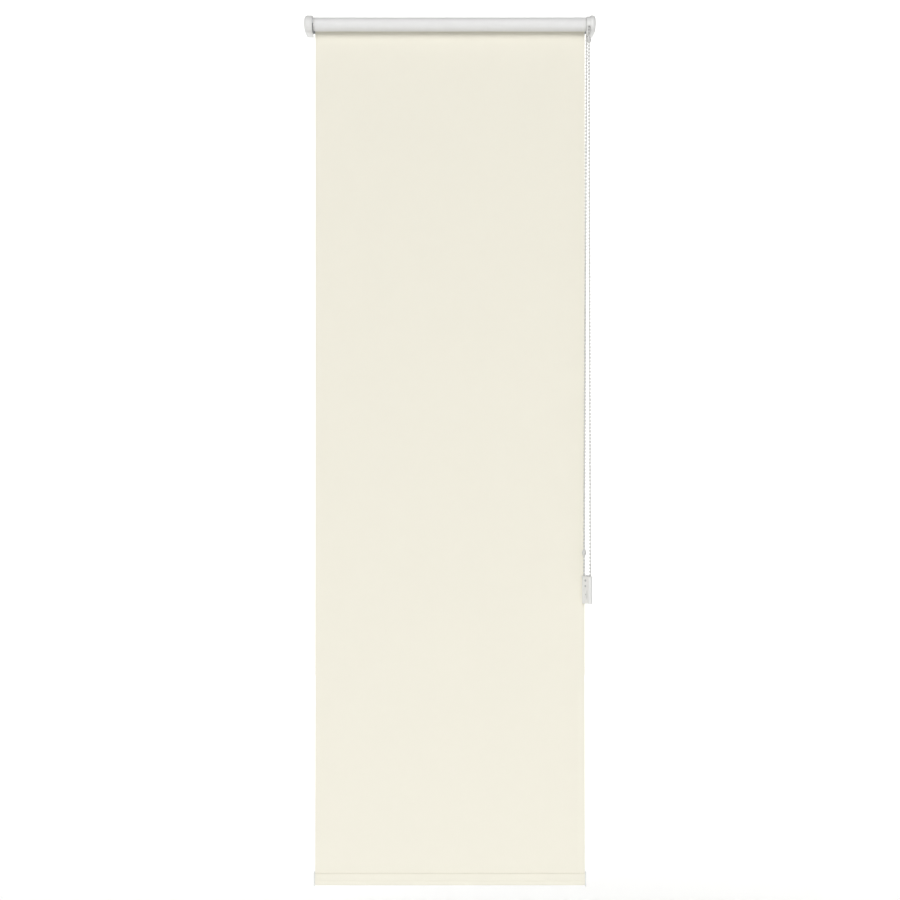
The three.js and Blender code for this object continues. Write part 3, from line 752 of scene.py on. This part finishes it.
def hem_outline():
    """(y, z) outline of the folded hem: flat at the seam, swollen round the bar, round at the fold.

    A shallow crease runs along it a little above the fold.
    """
    top, bottom = POCKET_HIGH.z, POCKET_LOW.z
    swell = (POCKET_HIGH.y - POCKET_LOW.y) / 2
    seam = sizes().cloth_thickness * SEAM_LAYERS
    ramp_start, ramp_end = top - 1.1 * MM, top - 1.9 * MM
    crease, crease_half, crease_depth = bottom + 7.3 * MM, 0.5 * MM, 0.3 * MM
    step = 0.1 * MM
    fold = ((3.5, 0.94), (1.8, 0.78), (0.6, 0.5), (0, 0.12))
    levels = [
        (top, seam),
        (ramp_start, seam),
        ((ramp_start + ramp_end) / 2, (seam + swell) / 2 + step),
        (ramp_end, swell),
        (crease + crease_half, swell),
        (crease, swell - crease_depth),
        (crease - crease_half, swell - step),
        *((bottom + height * MM, swell * share) for height, share in fold),
    ]
    front = [(CLOTH_Y - half, z) for z, half in levels]
    back = [(CLOTH_Y + half, z) for z, half in reversed(levels)]
    return front + back


def make_hem():
    """The hem pocket: one closed fold of cloth, open at both ends."""
    outside = hem_outline()
    middle = (POCKET_HIGH.z + POCKET_LOW.z) / 2
    thickness = sizes().cloth_thickness
    columns, slit = 96, 0.02 * MM
    shrink = 1 - 2 * thickness / (POCKET_HIGH.z - POCKET_LOW.z)
    inside = []
    for y, z in outside:
        half = max(abs(y - CLOTH_Y) - thickness, slit)
        inside.append((CLOTH_Y + math.copysign(half, y - CLOTH_Y), middle + (z - middle) * shrink))
    rings = []
    for k in range(columns + 1):
        x = POCKET_LOW.x + (POCKET_HIGH.x - POCKET_LOW.x) * k / columns
        rings.append([Vector((x, y, z)) for y, z in outside])
    bm = bmesh.new()
    outer = loft(bm, rings)
    inner_rings = [[Vector((ring[0].x, y, z)) for y, z in inside] for ring in rings]
    inner = loft(bm, inner_rings)
    count = len(outside)
    for end in (0, -1):
        for k in range(count):
            m = (k + 1) % count
            bm.faces.new((outer[end][k], outer[end][m], inner[end][m], inner[end][k]))
    hem = piece_from(bm, "hem_cloth", finish("cloth_front"), "hem", smooth_angle=50)
    coat_rear(hem)
    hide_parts("hem_pocket")
    return hem


def make_stitches():
    """Lockstitch that closes the pocket, seen on the room side and on the back."""
    length, gap = sizes().stitch_length, sizes().stitch_gap
    radius, end_share, arch_height = 0.16 * MM, 0.45, 0.2 * MM
    sunk = sizes().cloth_thickness * SEAM_LAYERS - 0.1 * MM
    width = POCKET_HIGH.x - POCKET_LOW.x
    count = int(width / (length + gap))
    start = POCKET_LOW.x + (width - count * (length + gap) + gap) / 2
    z = POCKET_HIGH.z - 0.6 * MM
    sides, steps = 6, 4
    bm = bmesh.new()
    for side in (-1, 1):
        for k in range(count):
            x0 = start + k * (length + gap)
            rings = []
            for step in range(steps + 1):
                share = step / steps
                arch = math.sin(math.pi * share)
                y = CLOTH_Y + side * (sunk + arch_height * arch)
                centre = Vector((x0 + length * share, y, z))
                size = radius * (end_share + (1 - end_share) * arch)
                rings.append([
                    centre + Vector((0, size * math.cos(a), size * math.sin(a)))
                    for a in angles_round(sides)
                ])
            loft(bm, rings, caps=True)
    thread = piece_from(bm, "hem_stitches", finish("thread"), "hem", smooth_angle=80)
    return thread


def cap_outline(x, radius, reach, middle):
    """A ring round a hem cap: two half circles, reach above and below the middle."""
    arc_steps = 10
    points = []
    for start, lift in ((0, reach), (math.pi, -reach)):
        for k in range(arc_steps + 1):
            a = start + math.pi * k / arc_steps
            y, z = CLOTH_Y + radius * math.cos(a), middle + lift + radius * math.sin(a)
            points.append(Vector((x, y, z)))
    return points


def make_hem_cap(side):
    """End cap of the hem: a thin rounded plate that closes the pocket, on a tongue."""
    node = "hem_cap_right" if side > 0 else "hem_cap_left"
    low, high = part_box(node)
    outer_x, tongue_x = (high.x, low.x) if side > 0 else (low.x, high.x)
    plate, edge, edge_steps = 2 * MM, 0.7 * MM, 4
    inner_x = outer_x - side * plate
    half_y, half_z = (high.y - low.y) / 2, (high.z - low.z) / 2
    middle, reach = (high.z + low.z) / 2, half_z - half_y
    root_x = inner_x + side * edge / 2
    rings = [
        cap_outline(inner_x, half_y - edge / 2, reach, middle),
        cap_outline(root_x, half_y, reach, middle),
    ]
    for k in range(edge_steps + 1):
        a = math.pi / 2 * k / edge_steps
        x = outer_x - side * edge * (1 - math.sin(a))
        rings.append(cap_outline(x, half_y - edge * (1 - math.cos(a)), reach, middle))
    bm = bmesh.new()
    loft(bm, rings, caps=True)
    tongue_half, squeeze = 0.85 * MM, 0.62
    tongue = [cap_outline(x, tongue_half, reach, middle) for x in (tongue_x, root_x)]
    for ring in tongue:
        for point in ring:
            point.z = middle + (point.z - middle) * squeeze
    loft(bm, tongue, caps=True)
    cap = piece_from(bm, node + "_moulding", finish("grey_plastic"), "hem")
    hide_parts(node)
    return cap


# Brackets and their covers


def cover_outline(x, radius):
    """Points round a cover from the wall along the top, round the front and back along the foot."""
    arc_steps, side_steps = 48, 6
    points = []
    for k in range(side_steps):
        points.append(Vector((x, AXIS.y * k / side_steps, radius)))
    for k in range(arc_steps + 1):
        a = math.pi / 2 + math.pi * k / arc_steps
        points.append(Vector((x, AXIS.y + radius * math.cos(a), radius * math.sin(a))))
    for k in range(side_steps):
        points.append(Vector((x, AXIS.y * (side_steps - 1 - k) / side_steps, -radius)))
    return points


def make_cover(node, side):
    """Moulded cover: a domed shell, open to the roller and to the wall, with a rolled rim."""
    low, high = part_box(node)
    outer_x, rim_x = (high.x, low.x) if side > 0 else (low.x, high.x)
    radius = (high.z - low.z) / 2
    wall, dome, inset, steps = sizes().cover_wall, sizes().cover_dome, 6.2 * MM, 12
    rim = sizes().edge_radius

    def domed(thick):
        """Rings from the foot of the dome to its flat, that far inside the cover's outer face."""
        rings = []
        for k in range(steps + 1):
            a = math.pi / 2 * k / steps
            x = outer_x - side * (dome * (1 - math.sin(a)) + thick)
            rings.append(cover_outline(x, radius - thick - inset * (1 - math.cos(a))))
        return rings

    outside = [
        cover_outline(rim_x, radius - rim),
        cover_outline(rim_x + side * rim, radius),
        *domed(0),
    ]
    inside = [
        cover_outline(rim_x, radius - wall + rim),
        cover_outline(rim_x + side * rim, radius - wall),
        *domed(wall),
    ]
    bm = bmesh.new()
    outer = loft(bm, outside, closed_rings=False)
    inner = loft(bm, inside, closed_rings=False)
    close_cover(bm, outer, inner)
    cover = piece_from(bm, node + "_moulding", finish("white_plastic"), "wall_side", smooth_angle=50)
    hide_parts(node)
    return cover


def close_end(bm, points):
    """Fills a cover's end with faces that join its upper half to its lower half."""
    low, high = 0, len(points) - 1
    while high - low > 2:
        bm.faces.new((points[low], points[low + 1], points[high - 1], points[high]))
        low, high = low + 1, high - 1
    bm.faces.new((points[low], points[low + 1], points[high]))


def close_cover(bm, outer, inner):
    """Closes a cover's rim, its wall edges and both faces of its domed end."""
    count = len(outer[0])
    for k in range(count - 1):
        bm.faces.new((outer[0][k], outer[0][k + 1], inner[0][k + 1], inner[0][k]))
    for edge in (0, count - 1):
        for i in range(len(outer) - 1):
            bm.faces.new((outer[i][edge], outer[i + 1][edge], inner[i + 1][edge], inner[i][edge]))
    for skin in (outer, inner):
        close_end(bm, skin[-1])
    bm.faces.new((outer[-1][0], outer[-1][-1], inner[-1][-1], inner[-1][0]))


# Operators


class BlindStep:
    """Common settings of the blind's build steps."""

    bl_options = {"REGISTER", "UNDO"}


class BLIND_OT_camera(BlindStep, bpy.types.Operator):
    """Place a long-lens camera square to the blind at mid height"""

    bl_idname = "blind.camera"
    bl_label = "Camera"

    def execute(self, context):
        distance, width, height = 2.8, 1.5462, -0.7312
        data = bpy.data.cameras.new("camera")
        data.lens = data.sensor_width * distance / width
        data.dof.use_dof = False
        camera = bpy.data.objects.new("camera", data)
        camera.location = (0, AXIS.y - distance, height)
        camera.rotation_euler = (math.radians(90), 0, 0)
        context.scene.collection.objects.link(camera)
        context.scene.camera = camera
        return {"FINISHED"}


class BLIND_OT_chain(BlindStep, bpy.types.Operator):
    """Build the endless ball chain and its two stops"""

    bl_idname = "blind.chain"
    bl_label = "Ball chain"

    def execute(self, context):
        make_chain()
        return {"FINISHED"}


class BLIND_OT_cloth(BlindStep, bpy.types.Operator):
    """Build the hanging cloth, its roll, its hem and the stitches"""

    bl_idname = "blind.cloth"
    bl_label = "Cloth and hem"

    def execute(self, context):
        panel = make_panel()
        roll = make_roll()
        hem = make_hem()
        thread = make_stitches()
        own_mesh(panel)
        return {"FINISHED"}


class BLIND_OT_hem_caps(BlindStep, bpy.types.Operator):
    """Build the two end caps of the hem"""

    bl_idname = "blind.hem_caps"
    bl_label = "Hem caps"

    def execute(self, context):
        for side in (-1, 1):
            make_hem_cap(side)
        return {"FINISHED"}


class BLIND_OT_covers(BlindStep, bpy.types.Operator):
    """Build the two domed bracket covers"""

    bl_idname = "blind.covers"
    bl_label = "Bracket covers"

    def execute(self, context):
        make_cover("bracket_cover_left", -1)
        make_cover("bracket_cover_right", 1)
        return {"FINISHED"}


class BLIND_OT_mouldings(BlindStep, bpy.types.Operator):
    """Soften the edges of the housing, the plugs and the tensioner"""

    bl_idname = "blind.mouldings"
    bl_label = "Mouldings"

    def execute(self, context):
        for node in ("chain_guard", "tensioner_body", "tensioner_cover"):
            refine(node, finish("white_plastic"), "wall_side")
        for node in ("idle_plug", "drive_hub"):
            refine(node, finish("grey_plastic"), "roller")
        refine("tensioner_pulley", finish("grey_plastic"), "pulley")
        refine("sprocket", finish("grey_plastic"), "sprocket")
        for node in ("bracket_plate_left", "bracket_plate_right"):
            refine(node, finish("steel"), "wall_side")
        make_idle_spring()
        return {"FINISHED"}


class BLIND_OT_finishes(BlindStep, bpy.types.Operator):
    """Give every piece that keeps its own shape the finish of its material"""

    bl_idname = "blind.finishes"
    bl_label = "Finishes"

    def execute(self, context):
        for part in frame["record"]["subparts"]:
            shown = frame["nodes"][part["node"]]
            shown.data.materials.clear()
            shown.data.materials.append(finish(part["material_slot"]))
        return {"FINISHED"}


class BLIND_OT_stage(BlindStep, bpy.types.Operator):
    """Set the pale studio floor, its curved surround and the soft lights"""

    bl_idname = "blind.stage"
    bl_label = "Stage and lights"

    def execute(self, context):
        steps, segments, middle = 12, 96, 0.05
        profile = [(middle, FLOOR_Z), (FLOOR_RADIUS, FLOOR_Z)]
        for k in range(1, steps + 1):
            a = math.pi / 2 * k / steps
            radius = FLOOR_RADIUS + FLOOR_BEND * math.sin(a)
            profile.append((radius, FLOOR_Z + FLOOR_BEND * (1 - math.cos(a))))
        profile.append((WALL_RADIUS, WALL_TOP))
        rings = [
            [Vector((radius * math.cos(a), radius * math.sin(a), z)) for a in angles_round(segments)]
            for radius, z in profile
        ]
        bm = bmesh.new()
        made = loft(bm, rings)
        bm.faces.new(made[0])
        stage = piece_from(bm, "studio_floor", finish("stage"))
        # A wall without a shadow of its own lets the key light in over the blind's whole height
        stage.visible_shadow = False
        self.key_light()
        for x in (-3, 0, 3):
            for side, power in ((1, BACKDROP_LIGHT), (-1, FRONT_WALL_LIGHT)):
                self.softbox(x, side, power)
        self.floor_wash()
        world = bpy.data.worlds.new("studio air")
        world.use_nodes = True
        background = world.node_tree.nodes["Background"]
        background.inputs["Color"].default_value = (1, 1, 1, 1)
        background.inputs["Strength"].default_value = AMBIENT_LIGHT
        context.scene.world = world
        context.scene.view_settings.view_transform = "Standard"
        return {"FINISHED"}

    def key_light(self):
        """A far, broad source: even over the whole height of the blind."""
        data = bpy.data.lights.new("key", "SUN")
        data.angle = KEY_SPREAD
        data.energy = KEY_LIGHT
        self.hang(data, (-0.2, -1, 0.44), (0, 0, 0))

    def softbox(self, x, side, power):
        """A softbox turned away from the blind, to light the curved wall behind or before it."""
        away, height, spread, aim_z = 4.2, 2.6, 1.2, -0.2
        data = bpy.data.lights.new("backdrop", "AREA")
        data.shape = "DISK"
        data.size = 1.5
        data.energy = power
        self.hang(data, (x, side * away, height), (x * spread, side * WALL_RADIUS, aim_z))

    def floor_wash(self):
        """A broad, low panel that evens out the floor."""
        lift = 0.15
        data = bpy.data.lights.new("floor wash", "AREA")
        data.shape = "DISK"
        data.size = 2 * WALL_RADIUS - 1.0
        data.energy = FLOOR_LIGHT
        self.hang(data, (0, 0, FLOOR_Z + lift), (0, 0, FLOOR_Z))

    def hang(self, data, place, aim):
        """Places a lamp out of the camera's sight and turns it to its aim."""
        lamp = bpy.data.objects.new(data.name, data)
        lamp.visible_camera = False
        lamp.location = place
        lamp.rotation_euler = (Vector(aim) - Vector(place)).to_track_quat("-Z", "Y").to_euler()
        bpy.context.scene.collection.objects.link(lamp)


OPERATORS = (
    BLIND_OT_camera,
    BLIND_OT_chain,
    BLIND_OT_cloth,
    BLIND_OT_hem_caps,
    BLIND_OT_covers,
    BLIND_OT_mouldings,
    BLIND_OT_finishes,
    BLIND_OT_stage,
)


class BLIND_PT_panel(bpy.types.Panel):
    """Lists the blind's sizes, colours and build steps."""

    bl_idname = "BLIND_PT_panel"
    bl_label = "Roller blind"
    bl_space_type = "VIEW_3D"
    bl_region_type = "UI"
    bl_category = "Roller blind"

    def draw(self, context):
        for group in (context.scene.blind_sizes, context.scene.blind_colours):
            box = self.layout.box()
            for name in group.__annotations__:
                box.prop(group, name)
        for operator in OPERATORS:
            self.layout.operator(operator.bl_idname)


CLASSES = (BlindSizes, BlindColours, *OPERATORS, BLIND_PT_panel)


def register():
    for cls in CLASSES:
        bpy.utils.register_class(cls)
    bpy.types.Scene.blind_sizes = bpy.props.PointerProperty(type=BlindSizes)
    bpy.types.Scene.blind_colours = bpy.props.PointerProperty(type=BlindColours)


def unregister():
    del bpy.types.Scene.blind_colours
    del bpy.types.Scene.blind_sizes
    for cls in reversed(CLASSES):
        bpy.utils.unregister_class(cls)


def main():
    register()
    for name in ("camera", "chain", "cloth", "hem_caps", "covers", "mouldings", "finishes", "stage"):
        getattr(bpy.ops.blind, name)()


if __name__ == "__main__":
    main()
